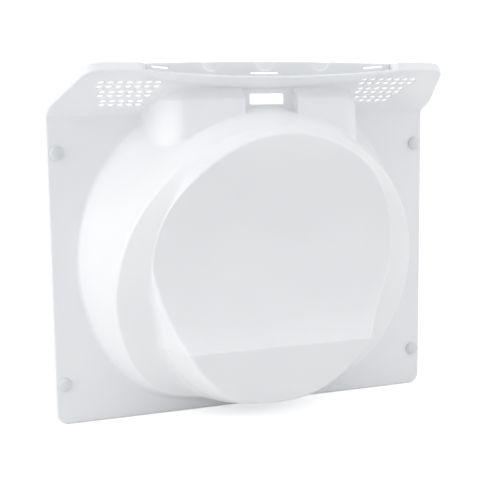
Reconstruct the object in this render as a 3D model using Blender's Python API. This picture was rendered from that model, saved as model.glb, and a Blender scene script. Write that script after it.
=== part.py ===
"""Moulded air duct panel: a face plate with a back-turned rim, a hood with two vent grids,
a drum-shaped air chamber, a window box, a lift-out grip strip and four two-part push rivets.

Metres, +Z up, +Y towards the appliance. The origin is the middle of the bottom rim's rear edge,
where the panel bears on the appliance, so the plate's front face lies at Y = -RIM_DEPTH.
"""

import math

import bmesh
import bpy
from mathutils import Vector

# ---- driving dimensions -------------------------------------------------------------------
WALL = 0.0022              # moulded sheet
GAP = 0.0003               # between pieces that touch
RIM_DEPTH = 0.010          # rim turned back from the sheet

PLATE_WIDTH = 0.460
PLATE_HEIGHT = 0.343       # bottom edge to the hood's bend
PLATE_CORNER = 0.013
HOOD_LENGTH = 0.1055
HOOD_RISE = math.radians(25.4)     # hood above the horizontal
BEND_RADIUS = 0.010
TAPER_START = 0.021        # hood's sides run straight this far, then draw in
HOOD_FRONT_WIDTH = 0.405
HOOD_CORNER = 0.021
TAPER_ROUND = 0.050        # radius where the sides begin to draw in

BULGE_BASE_RADIUS = 0.200
BULGE_BASE_HEIGHT = 0.180  # centre of the base circle
BULGE_BASE_FLOOR = 0.0065  # flat bottom of the base
BULGE_DRAW_IN = 0.0262     # base radius less edge radius
BULGE_EDGE_HEIGHT = 0.1565
BULGE_EDGE_FLOOR = 0.0225
BULGE_EDGE_DEPTH = 0.0676  # at the edge circle's centre
BULGE_EDGE_LEAN = 0.29     # forward travel of the edge plane per height
BULGE_EDGE_ROUND = 0.0045
BULGE_WALL_CURVE = 1.35    # above 1 hollows the wall towards the plate
FLOOR_SHARPNESS = 12       # how tightly the circles turn into their flat bottoms

LEDGE_SIDE_WIDTH = 0.0343  # ledge ring beside the face
LEDGE_TOP_WIDTH = 0.0058   # ledge ring above the face
FACE_MIDDLE = 0.184        # widest height
FACE_BOTTOM = 0.0255
FACE_LOWER_SHAPE = (0.80, 1.54)    # across and downward powers of the lower outline
FACE_HOLLOW_RADIUS = 0.200         # upper part of the hollow
FACE_HOLLOW_HEIGHT = 0.1655
FACE_HOLLOW_DEPTH = 0.0895
FACE_TOP_DEPTH = 0.132
RIDGE_HEIGHT = 0.093
RIDGE_DEPTH = 0.1085
FACET_BOTTOM_DEPTH = 0.0905
LEDGE_RISE = 0.0125        # ledge ring, from its outer edge to the foot of the face
FACE_DRAFT = 0.30
FACE_EDGE_ROUND = 0.003

BOX_HALF_WIDTH = 0.0942    # front face at its top edge
BOX_DRAFT = 0.075          # the front face widens this much per height going down
BOX_SIDE_RADIUS = 0.050    # each side sweeps round behind the front face's edge
BOX_SIDE_TURN = (math.radians(32), math.radians(83))   # the sweep's first and last headings
BOX_FOOT_WIDTH = 0.2445    # box at the plate
BOX_DEPTH = 0.0720
BOX_FRONT_TOP = 0.359
BOX_TOP_LEAN = 1.0         # backward travel of the box's sloping top per height
BOX_BOTTOM = 0.290
NOTCH_ACROSS = 0.004       # its middle, right of the panel's
NOTCH_WIDTH = 0.062
NOTCH_BACK = 0.056         # its back wall, ahead of the plate
WINDOW_WIDTH = 0.0396
WINDOW_HEIGHT = 0.0115
WINDOW_CENTRE = 0.3592

VENT_PITCH = 0.0101
VENT_ROW_PITCH = 0.0092    # the two rows of a pair
VENT_PAIR_PITCH = 0.0218
VENT_SIZE = (0.0062, 0.0070)
VENT_COUNTS = (5, 6, 7)    # holes in a row, by pair, from the plate to the front
VENT_GRIDS = ((-0.1533, 0.0300), (0.1448, 0.0340))    # centre across, first pair up the hood
VENT_SIDES = 8

BOW_DEPTH = 0.0153         # how far the lip draws back in the middle
BOW_HALF_WIDTH = 0.1458    # gap in the lip's rim

STRIP_DEPTH = 0.0598       # front face ahead of the plate, in the middle
STRIP_SAG = 0.0240         # its ends stand this much further forward
STRIP_HALF_WIDTH = 0.1405
STRIP_THICKNESS = 0.004
STRIP_TOP = 0.3995
STRIP_END_DROP = 0.0032    # the top edge falls this much towards the ends
FLUTE_PITCH = 0.0632
FLUTE_TOP_WIDTH = 0.023
FLUTE_BOTTOM_WIDTH = 0.015
FLUTE_HEIGHT = 0.0095
FLUTE_DEPTH = 0.0024
SLOT_LENGTHS = (0.0216, 0.0330)        # outer slots, middle slot
SLOT_HEIGHT = 0.0020
SLOT_FROM_END = 0.0183     # outer slots' middles from the strip's ends
SLOT_TILT = 0.08           # outer slots rise this much per length outward
SLOT_BELOW_TOP = (0.0045, 0.0124)      # outer slots, middle slot
GUIDE_THICKNESS = 0.0022
GUIDE_LAP = 0.006          # how far the guides reach over the strip's ends
NIB_HEIGHT = 0.0045        # low stop ahead of the strip's end

RIVET_ACROSS = 0.2195
RIVET_HEIGHTS = (0.0455, 0.3035)
HEAD_RADIUS = 0.0075
HEAD_HEIGHT = 0.0038
FLANGE_RADIUS = 0.0060
FLANGE_THICKNESS = 0.0008
SHANK_RADIUS = 0.0021
SLEEVE_RADIUS = 0.0038
BARB_RADIUS = 0.0048
SLEEVE_LENGTH = 0.0064     # behind the sheet
SLEEVE_SLIT = 0.0012
PIN_CLEARANCE = 0.0001     # shank in the sleeve's bore
PIN_TIP = 0.0010           # pin past the sleeve's end

RING_STEPS = 96            # points round the chamber
RIVET_STEPS = 24
CUT_BEHIND = 0.08          # forms are cut away this far behind the sheet
OPEN_BACK = 0.03           # inner forms run this far past the rear, to leave the back open

# ---- derived places -----------------------------------------------------------------------
PLATE_FRONT = -RIM_DEPTH
BOTTOM = -WALL / 2
BULGE_EDGE_RADIUS = BULGE_BASE_RADIUS - BULGE_DRAW_IN
FACE_HALF_WIDTH = BULGE_EDGE_RADIUS - LEDGE_SIDE_WIDTH
FACE_TOP = BULGE_EDGE_HEIGHT + BULGE_EDGE_RADIUS - LEDGE_TOP_WIDTH
SLOT_ACROSS = STRIP_HALF_WIDTH - SLOT_FROM_END
HOOD_COS, HOOD_SIN = math.cos(HOOD_RISE), math.sin(HOOD_RISE)
BEND_TURN = math.pi / 2 - HOOD_RISE
BEND_REACH = BEND_RADIUS * math.tan(BEND_TURN / 2)    # bend tangent length on each side
SHEET_RISE = WALL / HOOD_COS                           # hood sheet's height, measured upright


def hood_height(depth):
    """Height of the hood's front surface at a depth ahead of the plate."""
    return BOTTOM + PLATE_HEIGHT + depth * HOOD_SIN / HOOD_COS


def sheet_point(x, along, behind):
    """Point of the folded sheet: along the plate and up the hood, then behind its front face."""
    bend_start = PLATE_HEIGHT - BEND_REACH
    arc = BEND_RADIUS * BEND_TURN
    if along <= bend_start:
        return Vector((x, PLATE_FRONT + behind, BOTTOM + along))
    if along < PLATE_HEIGHT + BEND_REACH:
        turn = (along - bend_start) / (2 * BEND_REACH) * BEND_TURN
        radius = BEND_RADIUS + behind
        centre_y = PLATE_FRONT - BEND_RADIUS
        return Vector((x, centre_y + radius * math.cos(turn),
                       BOTTOM + bend_start + radius * math.sin(turn)))
    reach = along - PLATE_HEIGHT
    return Vector((x, PLATE_FRONT - reach * HOOD_COS + behind * HOOD_SIN,
                   BOTTOM + PLATE_HEIGHT + reach * HOOD_SIN + behind * HOOD_COS))


def forward(depth):
    return PLATE_FRONT - depth


# ---- mesh helpers -------------------------------------------------------------------------
def clear_scene():
    for item in list(bpy.data.objects):
        bpy.data.objects.remove(item, do_unlink=True)


def make_object(name, verts, faces):
    mesh = bpy.data.meshes.new(name)
    mesh.from_pydata([tuple(v) for v in verts], [], faces)
    shape = bmesh.new()
    shape.from_mesh(mesh)
    bmesh.ops.recalc_face_normals(shape, faces=shape.faces)
    shape.to_mesh(mesh)
    shape.free()
    item = bpy.data.objects.new(name, mesh)
    bpy.context.scene.collection.objects.link(item)
    return item


def side_faces(rings, count):
    """Quads between successive rings of the same number of points."""
    faces = []
    for r in range(rings - 1):
        for i in range(count):
            j = (i + 1) % count
            faces.append((r * count + i, r * count + j, (r + 1) * count + j, (r + 1) * count + i))
    return faces


def loft(name, rings):
    """Closed body through rings of points, with a flat face at each end."""
    count = len(rings[0])
    verts = [v for ring in rings for v in ring]
    faces = side_faces(len(rings), count)
    faces.append(tuple(reversed(range(count))))
    faces.append(tuple(range((len(rings) - 1) * count, len(rings) * count)))
    return make_object(name, verts, faces)


def prism(name, outline, place, start, end):
    """Outline of (u, v) pairs, swept from start to end; place(u, v, w) gives each point."""
    return loft(name, [[place(u, v, w) for u, v in outline] for w in (start, end)])


def block(name, low, high):
    outline = [(low[0], low[1]), (high[0], low[1]), (high[0], high[1]), (low[0], high[1])]
    return prism(name, outline, lambda x, y, z: Vector((x, y, z)), low[2], high[2])


def turned(name, profile, steps, centre):
    """Body of revolution about Y from (radius, y) pairs; its axis passes through centre."""
    rings = []
    for radius, y in profile:
        ring = []
        for i in range(steps):
            angle = 2 * math.pi * i / steps
            ring.append(Vector((centre[0] + radius * math.cos(angle), y,
                                centre[1] + radius * math.sin(angle))))
        rings.append(ring)
    return loft(name, rings)


def combine(base, other, operation):
    """Apply a Boolean to base and delete the other body."""
    step = base.modifiers.new(operation.lower(), "BOOLEAN")
    step.operation = operation
    step.solver = "EXACT"
    step.object = other
    graph = bpy.context.evaluated_depsgraph_get()
    mesh = bpy.data.meshes.new_from_object(base.evaluated_get(graph))
    base.modifiers.clear()
    old = base.data
    base.data = mesh
    bpy.data.meshes.remove(old)
    bpy.data.objects.remove(other, do_unlink=True)
    return base


def cut(base, other):
    return combine(base, other, "DIFFERENCE")


def add(base, other):
    return combine(base, other, "UNION")


def joined(name, items):
    """One object holding several separate bodies."""
    shape = bmesh.new()
    for item in items:
        shape.from_mesh(item.data)
        bpy.data.objects.remove(item, do_unlink=True)
    mesh = bpy.data.meshes.new(name)
    shape.to_mesh(mesh)
    shape.free()
    result = bpy.data.objects.new(name, mesh)
    bpy.context.scene.collection.objects.link(result)
    return result


def finish(item, material, sharp_degrees=35):
    """Weld slivers, shade round faces smooth and give the piece its material."""
    shape = bmesh.new()
    shape.from_mesh(item.data)
    bmesh.ops.remove_doubles(shape, verts=shape.verts, dist=1e-6)
    bmesh.ops.dissolve_degenerate(shape, edges=shape.edges, dist=1e-6)
    shape.to_mesh(item.data)
    shape.free()
    item.data.shade_smooth()
    item.data.set_sharp_from_angle(angle=math.radians(sharp_degrees))
    item.data.materials.clear()
    item.data.materials.append(material)


def plastic(name, colour, roughness):
    material = bpy.data.materials.new(name)
    material.use_nodes = True
    shader = material.node_tree.nodes["Principled BSDF"]
    shader.inputs["Base Color"].default_value = (*colour, 1.0)
    shader.inputs["Roughness"].default_value = roughness
    shader.inputs["Metallic"].default_value = 0.0
    return material


# ---- the folded sheet: plate, hood and rim ------------------------------------------------
def arc_points(centre, radius, start, end, steps):
    points = []
    for i in range(steps + 1):
        angle = start + (end - start) * i / steps
        points.append((centre[0] + radius * math.cos(angle), centre[1] + radius * math.sin(angle)))
    return points


def sheet_side(inset):
    """Right-hand edge of the unfolded sheet, from its bottom edge to the hood's front edge."""
    top = PLATE_HEIGHT + HOOD_LENGTH
    lean = math.atan2((PLATE_WIDTH - HOOD_FRONT_WIDTH) / 2, HOOD_LENGTH - TAPER_START)
    half = PLATE_WIDTH / 2 - inset
    front = HOOD_FRONT_WIDTH / 2 - inset * (1 - math.sin(lean)) / math.cos(lean)
    corner = PLATE_CORNER - inset
    side = arc_points((half - corner, inset + corner), corner, -math.pi / 2, 0, 6)
    for i in range(7):
        side.append((half, PLATE_HEIGHT + BEND_REACH * (i / 3 - 1)))
    taper_round = TAPER_ROUND - inset
    foot = top - inset - (half - front) / math.tan(lean)
    side += arc_points((half - taper_round, foot - taper_round * math.tan(lean / 2)),
                       taper_round, 0, lean, 3)
    hood_corner = HOOD_CORNER - inset
    reach = hood_corner * math.tan((math.pi / 2 - lean) / 2)
    centre = (front - reach, top - inset - hood_corner)
    side += arc_points(centre, hood_corner, lean, math.pi / 2, 6)
    return side


def tray(name, inset, near, far):
    """Solid of the folded sheet between two distances behind its front face."""
    side = sheet_side(inset)
    levels = len(side)
    verts = []
    for behind in (near, far):
        verts += [sheet_point(x, s, behind) for x, s in side]
        verts += [sheet_point(-x, s, behind) for x, s in side]
    faces = []
    for layer in range(2):
        right = layer * 2 * levels
        left = right + levels
        for k in range(levels - 1):
            faces.append((right + k, right + k + 1, left + k + 1, left + k))
    far_start = 2 * levels
    for first in (0, levels):
        for k in range(first, first + levels - 1):
            faces.append((k, k + 1, far_start + k + 1, far_start + k))
    for k in (0, levels - 1):
        faces.append((k, levels + k, far_start + levels + k, far_start + k))
    return make_object(name, verts, faces)


# ---- the drum-shaped chamber --------------------------------------------------------------
def smooth_min(a, b, sharpness):
    return (a ** -sharpness + b ** -sharpness) ** (-1 / sharpness)


def flat_circle(centre, radius, floor, angle):
    """Circle that turns softly into a flat bottom: (x, z) at an angle from +X."""
    reach = radius
    down = -math.sin(angle)
    if down > 1e-3:
        reach = smooth_min(radius, (centre - floor) / down, FLOOR_SHARPNESS)
    return reach * math.cos(angle), centre + reach * math.sin(angle)


def edge_depth(z):
    return BULGE_EDGE_DEPTH + BULGE_EDGE_LEAN * (z - BULGE_EDGE_HEIGHT)


def face_depth(z):
    """Front face seen from the side: a brow, a hollow, the ridge and a facet under it."""
    if z < RIDGE_HEIGHT:
        share = (z - FACE_BOTTOM) / (RIDGE_HEIGHT - FACE_BOTTOM)
        return FACET_BOTTOM_DEPTH + share * (RIDGE_DEPTH - FACET_BOTTOM_DEPTH)
    if z < FACE_HOLLOW_HEIGHT:
        share = (FACE_HOLLOW_HEIGHT - z) / (FACE_HOLLOW_HEIGHT - RIDGE_HEIGHT)
        return FACE_HOLLOW_DEPTH + (RIDGE_DEPTH - FACE_HOLLOW_DEPTH) * share ** 3
    across = min(z - FACE_HOLLOW_HEIGHT, FACE_HOLLOW_RADIUS * 0.99)
    rise = FACE_HOLLOW_RADIUS - math.sqrt(FACE_HOLLOW_RADIUS ** 2 - across ** 2)
    return smooth_min(FACE_HOLLOW_DEPTH + rise, FACE_TOP_DEPTH, 18)


def face_outline(angle, inset):
    """Edge of the front face: a half oval above, a drawn-in one below."""
    c, s = math.cos(angle), math.sin(angle)
    half = FACE_HALF_WIDTH - inset
    if s >= 0:
        return half * c, FACE_MIDDLE + (FACE_TOP - FACE_MIDDLE - inset) * s
    across, down = FACE_LOWER_SHAPE
    drop = FACE_MIDDLE - FACE_BOTTOM - inset
    return half * math.copysign(abs(c) ** across, c), FACE_MIDDLE - drop * abs(s) ** down


def chamber_angles():
    """Angles round the chamber in mirrored pairs; one pair falls on the face's ridge."""
    drop = FACE_MIDDLE - FACE_BOTTOM - FACE_EDGE_ROUND
    ridge = math.asin(((FACE_MIDDLE - RIDGE_HEIGHT) / drop) ** (1 / FACE_LOWER_SHAPE[1]))
    half = [math.pi / 2 + 2 * math.pi * (i + 0.5) / RING_STEPS for i in range(RING_STEPS // 2)]
    half = sorted(half + [math.pi + ridge])
    return half + [3 * math.pi - angle for angle in reversed(half)]


def chamber(name, shell, back):
    """Chamber body; shell is the distance inside the outer surface, back its rear plane."""
    side = shell * 1.1
    rings = [[] for _ in range(10)]
    for angle in chamber_angles():
        base = flat_circle(BULGE_BASE_HEIGHT, BULGE_BASE_RADIUS - side,
                           BULGE_BASE_FLOOR + side, angle)
        edge = flat_circle(BULGE_EDGE_HEIGHT, BULGE_EDGE_RADIUS - side,
                           BULGE_EDGE_FLOOR + side, angle)
        lip = flat_circle(BULGE_EDGE_HEIGHT, BULGE_EDGE_RADIUS - side - BULGE_EDGE_ROUND,
                          BULGE_EDGE_FLOOR + side + BULGE_EDGE_ROUND, angle)
        depth = edge_depth(edge[1]) - shell
        rows = [(base, -back)]
        for share in (0.0, 0.25, 0.5, 0.75, 1 - BULGE_EDGE_ROUND / depth):
            keep = (1 - share) ** BULGE_WALL_CURVE
            wall = [edge[k] + (base[k] - edge[k]) * keep for k in (0, 1)]
            rows.append((wall, depth * share))
        crown = face_outline(angle, side)
        crown_depth = face_depth(crown[1]) - shell
        foot_depth = min(edge_depth(crown[1]) + LEDGE_RISE - shell, crown_depth - FACE_EDGE_ROUND)
        foot = face_outline(angle, side - FACE_DRAFT * (crown_depth - foot_depth))
        soft = face_outline(angle, side + FACE_EDGE_ROUND)
        rows += [(lip, edge_depth(lip[1]) - shell + BULGE_EDGE_ROUND * 0.25),
                 (foot, foot_depth),
                 (crown, crown_depth - FACE_EDGE_ROUND * 0.5),
                 (soft, face_depth(soft[1]) - shell)]
        for ring, ((x, z), ahead) in zip(rings, rows):
            ring.append(Vector((x, forward(ahead), BOTTOM + z)))
    count = len(rings[0])
    verts = [v for ring in rings for v in ring]
    faces = side_faces(len(rings), count)
    faces.append(tuple(reversed(range(count))))
    start = (len(rings) - 1) * count
    for i in range(count // 2 - 1):
        faces.append((start + i, start + i + 1, start + count - 2 - i, start + count - 1 - i))
    return make_object(name, verts, faces)


# ---- the window box -----------------------------------------------------------------------
def box_outline(half, depth, inset, back):
    """Plan of the box: a flat front whose sides sweep round and run back to the plate."""
    first, last = BOX_SIDE_TURN
    radius = BOX_SIDE_RADIUS - inset
    centre = (half - BOX_SIDE_RADIUS * math.sin(first), depth - BOX_SIDE_RADIUS * math.cos(first))
    first = math.acos((depth - inset - centre[1]) / radius)
    points = []
    steps = 7
    for i in range(steps + 1):
        angle = first + (last - first) * i / steps
        points.append((centre[0] + radius * math.sin(angle), centre[1] + radius * math.cos(angle)))
    foot = BOX_FOOT_WIDTH / 2 - BOX_HALF_WIDTH + half - inset
    points += [(foot, 0.0), (foot, -back)]
    return points + [(-x, d) for x, d in reversed(points)]


def window_box(name, inset, back):
    """Box between the chamber and the hood: upright front, then a top that leans back."""
    rings = []
    for z in (BOX_BOTTOM, BOX_FRONT_TOP, STRIP_TOP):
        half = BOX_HALF_WIDTH + BOX_DRAFT * max(BOX_FRONT_TOP - z, 0)
        depth = BOX_DEPTH - BOX_TOP_LEAN * max(z - BOX_FRONT_TOP, 0)
        rings.append([Vector((x, forward(d), BOTTOM + z))
                      for x, d in box_outline(half, depth, inset, back)])
    shape = loft(name, rings)
    half = NOTCH_WIDTH / 2 + inset
    return cut(shape, block("notch", (NOTCH_ACROSS - half, forward(BOX_DEPTH + WALL),
                                      BOTTOM + BOX_BOTTOM - WALL),
                            (NOTCH_ACROSS + half, forward(NOTCH_BACK - inset),
                             BOTTOM + STRIP_TOP + WALL)))


def window_cutter():
    depth = NOTCH_BACK - WALL / 2
    return block("window", (NOTCH_ACROSS - WINDOW_WIDTH / 2, forward(depth + WALL),
                            BOTTOM + WINDOW_CENTRE - WINDOW_HEIGHT / 2),
                 (NOTCH_ACROSS + WINDOW_WIDTH / 2, forward(depth - WALL),
                  BOTTOM + WINDOW_CENTRE + WINDOW_HEIGHT / 2))


# ---- cutters on the hood ------------------------------------------------------------------
def vent_cutters():
    cutters = []
    for centre, first in VENT_GRIDS:
        for pair, count in enumerate(VENT_COUNTS):
            for row in range(2):
                along = PLATE_HEIGHT + first - VENT_ROW_PITCH / 2
                along += pair * VENT_PAIR_PITCH + row * VENT_ROW_PITCH
                for hole in range(count):
                    across = centre + (hole - (count - 1) / 2) * VENT_PITCH
                    cutters.append(vent_cutter(across, along))
    return joined("vent_cutters", cutters)


def vent_cutter(across, along):
    outline = []
    for i in range(VENT_SIDES):
        angle = 2 * math.pi * (i + 0.5) / VENT_SIDES
        outline.append((across + VENT_SIZE[0] / 2 * math.cos(angle),
                        along + VENT_SIZE[1] / 2 * math.sin(angle)))
    return prism("vent", outline, sheet_point, -WALL, 2 * WALL)


def bow_cutter():
    """Bow-shaped bite out of the hood's lip."""
    lip = PLATE_HEIGHT + HOOD_LENGTH
    half = BOW_HALF_WIDTH
    outline = [(half, lip + WALL), (-half, lip + WALL)]
    steps = 24
    for i in range(steps + 1):
        x = half * (2 * i / steps - 1)
        outline.append((x, lip - BOW_DEPTH * (1 - (x / half) ** 2)))
    return prism("bow_cutter", outline, sheet_point, -WALL, 2 * WALL)


def rim_gap_cutter():
    """Gap in the lip's rim, as wide as the strip between its end walls."""
    lip = PLATE_HEIGHT + HOOD_LENGTH
    half = BOW_HALF_WIDTH
    outline = [(-half, lip - 2 * WALL), (half, lip - 2 * WALL),
               (half, lip + WALL), (-half, lip + WALL)]
    return prism("rim_gap", outline, sheet_point, WALL, RIM_DEPTH + WALL)


# ---- the grip strip -----------------------------------------------------------------------
def strip_depth(x):
    return STRIP_DEPTH + STRIP_SAG * (x / STRIP_HALF_WIDTH) ** 2


def strip_slope(x):
    return 2 * STRIP_SAG * x / STRIP_HALF_WIDTH ** 2


def strip_top(x):
    return STRIP_TOP - STRIP_END_DROP * (x / STRIP_HALF_WIDTH) ** 2


def grip_strip():
    steps = 48
    rings = []
    for i in range(steps + 1):
        x = STRIP_HALF_WIDTH * (2 * i / steps - 1)
        front = strip_depth(x)
        rear = front - STRIP_THICKNESS
        foot = hood_height(front) + SHEET_RISE + GAP
        top = BOTTOM + strip_top(x)
        rings.append([Vector((x, forward(front), foot)), Vector((x, forward(rear), foot)),
                      Vector((x, forward(rear), top)), Vector((x, forward(front), top))])
    strip = loft("grip_strip", rings)
    for side in (-1, 0, 1):
        cut(strip, flute_cutter(side * FLUTE_PITCH))
        cut(strip, slot_cutter(side))
    return strip


def flute_cutter(x):
    """Funnel-shaped finger scallop, open at the strip's top edge."""
    rings = []
    for share, size in ((0.0, 0.40), (0.18, 0.85), (0.45, 1.0), (1.0, 1.0), (1.3, 1.0)):
        half = (FLUTE_BOTTOM_WIDTH + (FLUTE_TOP_WIDTH - FLUTE_BOTTOM_WIDTH) * share) / 2 * size
        z = BOTTOM + strip_top(x) + FLUTE_HEIGHT * (share - 1)
        ring = []
        for i in range(16):
            angle = 2 * math.pi * i / 16
            ring.append(Vector((x + half * math.cos(angle),
                                forward(strip_depth(x) - FLUTE_DEPTH * size * math.sin(angle)), z)))
        rings.append(ring)
    return loft("flute", rings)


def slot_cutter(side):
    kind = 1 if side == 0 else 0
    x = side * SLOT_ACROSS
    turn = math.atan(strip_slope(x))
    along = Vector((math.cos(turn), -math.sin(turn), side * SLOT_TILT)) * SLOT_LENGTHS[kind] / 2
    through = Vector((math.sin(turn), math.cos(turn), 0))
    up = Vector((0, 0, SLOT_HEIGHT / 2))
    centre = Vector((x, forward(strip_depth(x) - STRIP_THICKNESS / 2),
                     BOTTOM + strip_top(x) - SLOT_BELOW_TOP[kind]))
    return prism("slot", [(-1, -1), (1, -1), (1, 1), (-1, 1)],
                 lambda u, v, w: centre + along * u + up * v + through * w,
                 -3 * STRIP_THICKNESS, 3 * STRIP_THICKNESS)


def guide_section(x, rear, front, top):
    """Upright section of a guide at one place across, rooted in the hood's sheet."""
    return [Vector((x, forward(rear), hood_height(rear) + SHEET_RISE / 2)),
            Vector((x, forward(front), hood_height(front) + SHEET_RISE / 2)),
            Vector((x, forward(front), top)), Vector((x, forward(rear), top))]


def strip_guides(side):
    """Rear wall, end wall and low front stop that hold one end of the strip."""
    inner = STRIP_HALF_WIDTH - GUIDE_LAP
    end = STRIP_HALF_WIDTH + GAP
    outer = end + GUIDE_THICKNESS / 2
    top = BOTTOM + strip_top(STRIP_HALF_WIDTH)
    rear = [strip_depth(x) - STRIP_THICKNESS - GAP for x in (inner, outer)]
    front = [strip_depth(x) + GAP for x in (inner, outer)]
    lip = HOOD_LENGTH * HOOD_COS - 0.6 * WALL
    nib_top = hood_height(front[1]) + SHEET_RISE + NIB_HEIGHT
    slant = []
    for x, depth in ((end, front[1] - GUIDE_THICKNESS), (BOW_HALF_WIDTH - GAP, lip)):
        floor = hood_height(depth) + SHEET_RISE / 2
        slant.append([Vector((side * x, forward(depth), floor)),
                      Vector((side * (x + GUIDE_THICKNESS), forward(depth), floor)),
                      Vector((side * (x + GUIDE_THICKNESS), forward(depth), top - 2 * GAP)),
                      Vector((side * x, forward(depth), top - 2 * GAP))])
    return [
        loft("rear_wall", [guide_section(side * x, d - GUIDE_THICKNESS, d, top)
                           for x, d in zip((inner, outer), rear)]),
        loft("front_stop", [guide_section(side * x, d, d + GUIDE_THICKNESS, nib_top)
                            for x, d in zip((inner, outer), front)]),
        loft("end_wall", [guide_section(side * x, rear[1] - 0.4 * GUIDE_THICKNESS,
                                        front[1] - 0.4 * GUIDE_THICKNESS, top - GAP)
                          for x in (end, end + 0.9 * GUIDE_THICKNESS)]),
        loft("slant_wall", slant)]


# ---- the rivets ---------------------------------------------------------------------------
def rivet_places():
    places = []
    for row, height in zip(("lower", "upper"), RIVET_HEIGHTS):
        for side, x in (("left", -RIVET_ACROSS), ("right", RIVET_ACROSS)):
            places.append((row + "_" + side, (x, BOTTOM + height)))
    return places


def behind_front(distance):
    return PLATE_FRONT + distance


def rivet_sleeve(name, centre):
    bore = SHANK_RADIUS + PIN_CLEARANCE
    end = WALL + SLEEVE_LENGTH
    outside = [(FLANGE_RADIUS, -GAP - FLANGE_THICKNESS), (FLANGE_RADIUS, -GAP),
               (SLEEVE_RADIUS, -GAP), (SLEEVE_RADIUS, WALL + 2 * GAP),
               (BARB_RADIUS, WALL + 5 * GAP), (BARB_RADIUS, WALL + 7 * GAP),
               (SLEEVE_RADIUS - GAP, end)]
    inside = [(bore, end + WALL), (bore, -GAP - FLANGE_THICKNESS - WALL)]
    sleeve = turned(name, [(r, behind_front(w)) for r, w in outside], RIVET_STEPS, centre)
    cut(sleeve, turned("bore", [(r, behind_front(w)) for r, w in inside], RIVET_STEPS, centre))
    for across, upright in ((BARB_RADIUS + GAP, SLEEVE_SLIT / 2), (SLEEVE_SLIT / 2, BARB_RADIUS + GAP)):
        cut(sleeve, block("slit", (centre[0] - across, behind_front(WALL + 3 * GAP),
                                   centre[1] - upright),
                          (centre[0] + across, behind_front(end + WALL), centre[1] + upright)))
    return sleeve


def rivet_pin(name, centre):
    seat = -2 * GAP - FLANGE_THICKNESS
    end = WALL + SLEEVE_LENGTH + PIN_TIP
    profile = [(SHANK_RADIUS * 0.55, end), (SHANK_RADIUS, end - SHANK_RADIUS), (SHANK_RADIUS, seat),
               (FLANGE_RADIUS + GAP, seat), (FLANGE_RADIUS + GAP, -GAP), (HEAD_RADIUS - GAP, -GAP)]
    steps = 6
    for i in range(steps):
        angle = math.pi / 2 * i / steps
        profile.append((HEAD_RADIUS * math.cos(angle),
                        -4 * GAP - (HEAD_HEIGHT - 4 * GAP) * math.sin(angle)))
    return turned(name, [(r, behind_front(w)) for r, w in profile], RIVET_STEPS, centre)


def rivet_hole(centre):
    return turned("rivet_hole", [(SLEEVE_RADIUS + GAP, behind_front(w)) for w in (-WALL, 2 * WALL)],
                  RIVET_STEPS, centre)


# ---- the duct panel -----------------------------------------------------------------------
def duct_panel():
    forms = chamber("duct_panel", 0.0, WALL)
    add(forms, window_box("box", 0.0, WALL))
    cut(forms, tray("rear", -WALL, WALL / 2, CUT_BEHIND))
    panel = add(forms, tray("sheet", 0.0, 0.0, RIM_DEPTH))
    cut(panel, tray("sheet_inside", WALL, WALL, RIM_DEPTH + WALL))
    cut(panel, chamber("chamber_inside", WALL, OPEN_BACK))
    cut(panel, window_box("box_inside", WALL, OPEN_BACK))
    cut(panel, window_cutter())
    cut(panel, vent_cutters())
    cut(panel, rim_gap_cutter())
    cut(panel, bow_cutter())
    for side in (-1, 1):
        for guide in strip_guides(side):
            add(panel, guide)
    for name, centre in rivet_places():
        cut(panel, rivet_hole(centre))
    return panel


def build():
    clear_scene()
    finish(duct_panel(), plastic("white_moulding", (0.80, 0.81, 0.82), 0.42))
    finish(grip_strip(), plastic("white_strip", (0.78, 0.79, 0.80), 0.42))
    for name, centre in rivet_places():
        finish(rivet_sleeve("rivet_sleeve_" + name, centre),
               plastic("sleeve_nylon_" + name, (0.74, 0.75, 0.75), 0.5))
        finish(rivet_pin("rivet_pin_" + name, centre),
               plastic("pin_nylon_" + name, (0.80, 0.81, 0.82), 0.4))


build()
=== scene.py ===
"""Moulded air duct panel, dressed for rendering: fine smooth meshes, plastics, lights, camera.

Metres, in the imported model's frame: +Z up, +Y towards the appliance. Each form is a signed
distance field built from the same named sizes as the solids, and is meshed here.
"""
import math

import bmesh
import bpy
import numpy as np
from mathutils import Matrix, Vector


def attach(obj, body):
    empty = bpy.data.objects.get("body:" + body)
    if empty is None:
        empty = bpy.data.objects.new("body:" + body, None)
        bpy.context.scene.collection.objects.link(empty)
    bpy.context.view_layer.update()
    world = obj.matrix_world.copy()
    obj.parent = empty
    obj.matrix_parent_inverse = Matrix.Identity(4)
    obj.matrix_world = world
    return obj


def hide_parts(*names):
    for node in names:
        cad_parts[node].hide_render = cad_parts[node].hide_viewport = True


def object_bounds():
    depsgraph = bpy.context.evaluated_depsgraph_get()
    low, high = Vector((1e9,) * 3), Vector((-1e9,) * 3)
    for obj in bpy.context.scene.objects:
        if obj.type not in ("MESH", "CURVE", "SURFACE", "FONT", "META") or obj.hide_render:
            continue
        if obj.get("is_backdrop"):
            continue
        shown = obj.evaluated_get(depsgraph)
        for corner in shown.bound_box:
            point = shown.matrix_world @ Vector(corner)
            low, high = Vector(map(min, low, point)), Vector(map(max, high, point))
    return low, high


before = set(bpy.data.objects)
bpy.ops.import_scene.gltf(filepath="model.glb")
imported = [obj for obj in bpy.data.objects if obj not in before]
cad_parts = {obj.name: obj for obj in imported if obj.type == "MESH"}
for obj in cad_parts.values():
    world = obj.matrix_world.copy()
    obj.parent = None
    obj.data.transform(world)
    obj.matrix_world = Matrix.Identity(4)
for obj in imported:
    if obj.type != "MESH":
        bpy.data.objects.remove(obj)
cad_low, cad_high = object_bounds()

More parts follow.
